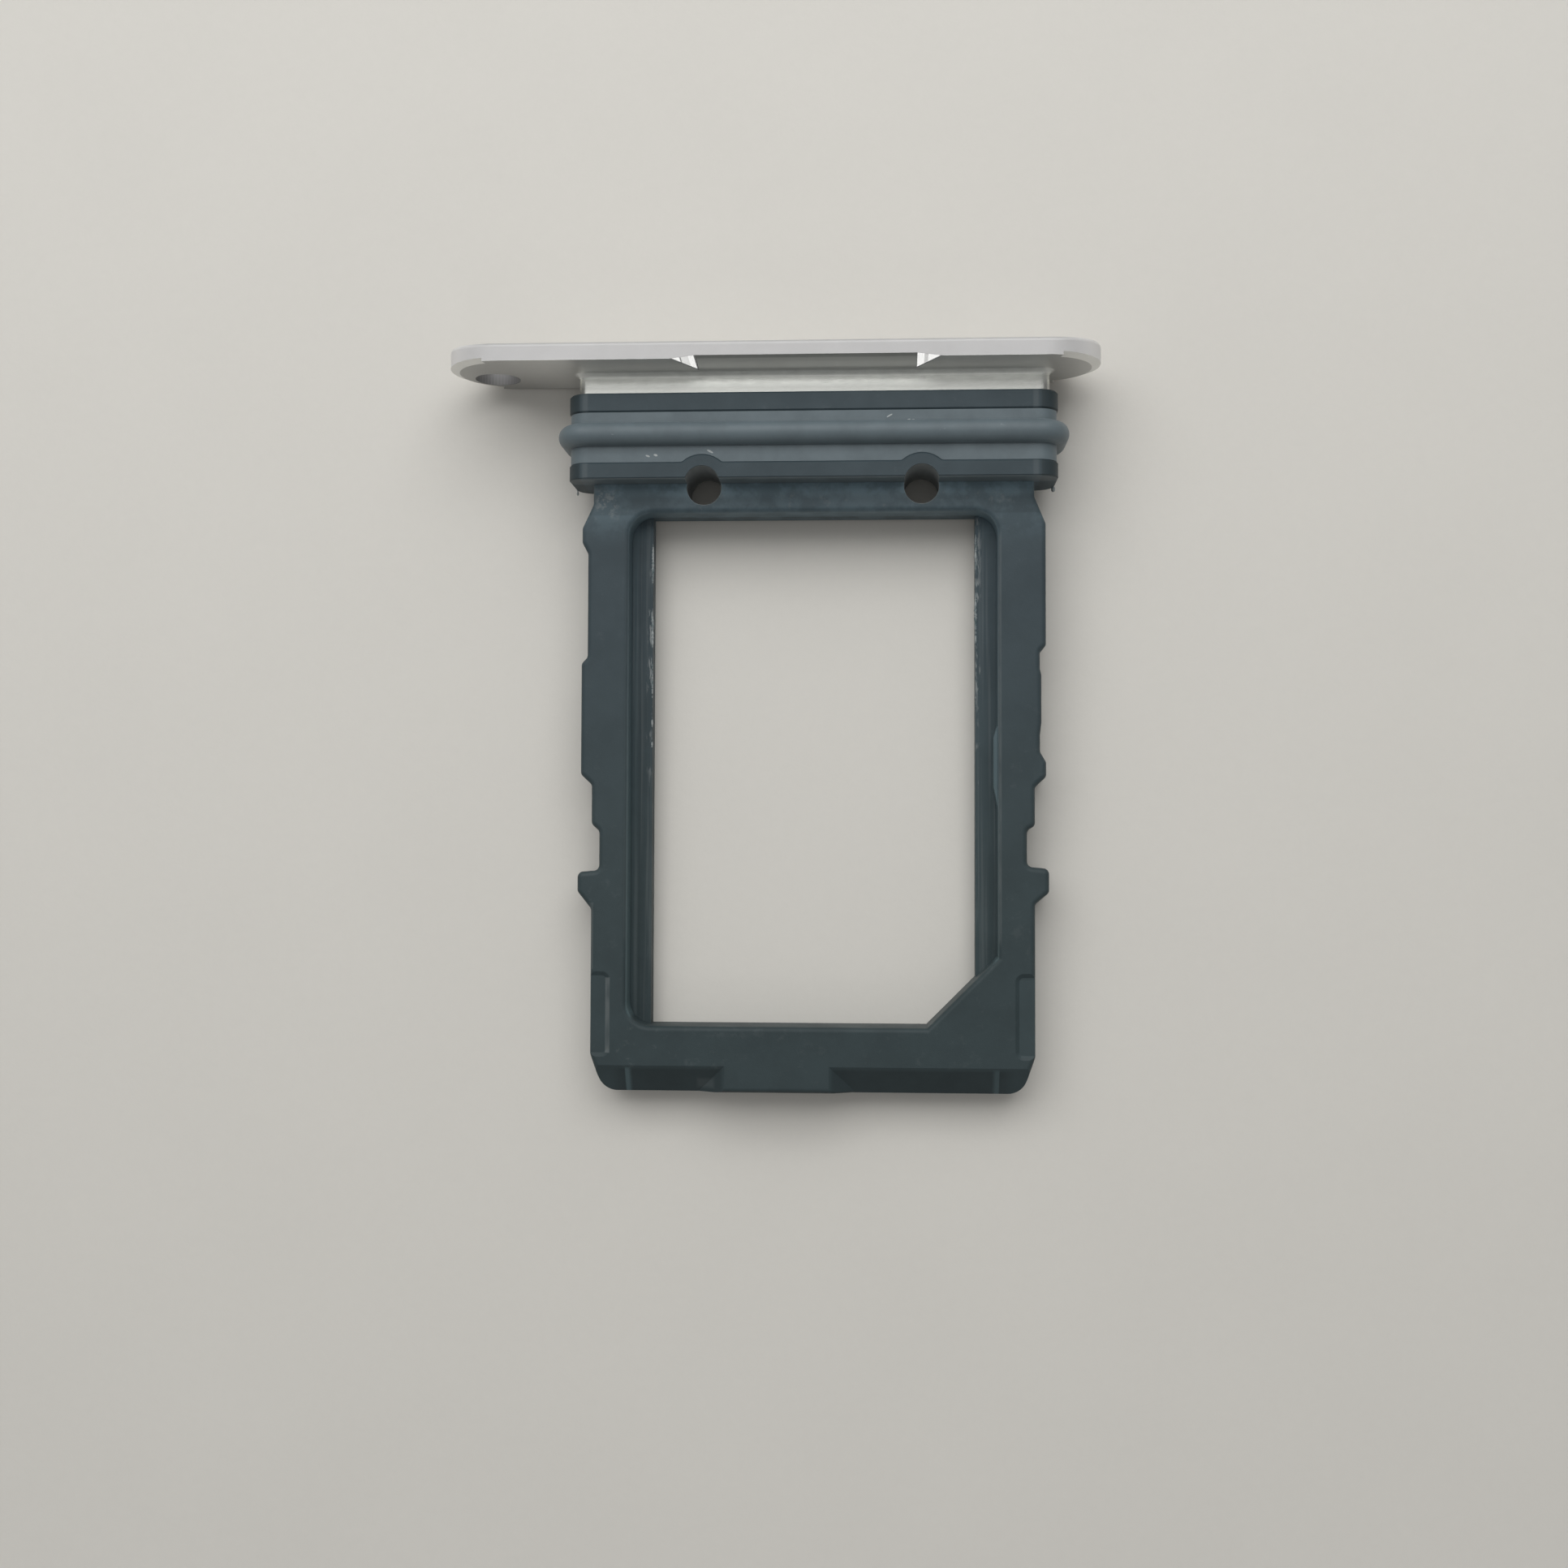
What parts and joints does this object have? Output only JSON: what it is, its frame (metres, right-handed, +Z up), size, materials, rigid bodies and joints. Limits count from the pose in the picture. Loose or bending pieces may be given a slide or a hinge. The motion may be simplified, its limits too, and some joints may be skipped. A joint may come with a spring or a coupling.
{
  "type": "sim card tray",
  "caption": "Flat tray with a keyed pocket for a nano card, a sealed collar and a rounded metal face plate that closes the slot in a handset's side.",
  "frame": {"origin": "on the tray's centreline, at the face plate's back face and the collar's mid-height", "axes": "+X across the tray, away from the eject hole; +Y out of the slot, the way the tray is drawn; +Z up out of the card pocket"},
  "size_m": [0.0158, 0.0179, 0.0027],
  "materials": {
    "face_plate": "bead-blasted and anodised silver, with bright machined edges",
    "tray_frame": "fine-textured charcoal moulding",
    "seal_ring": "smooth slate-grey silicone"
  },
  "bodies": {
    "root": {"face_plate": "face_plate", "tray_frame": "tray_frame", "seal_ring": "seal_ring"}
  },
  "joints": []
}
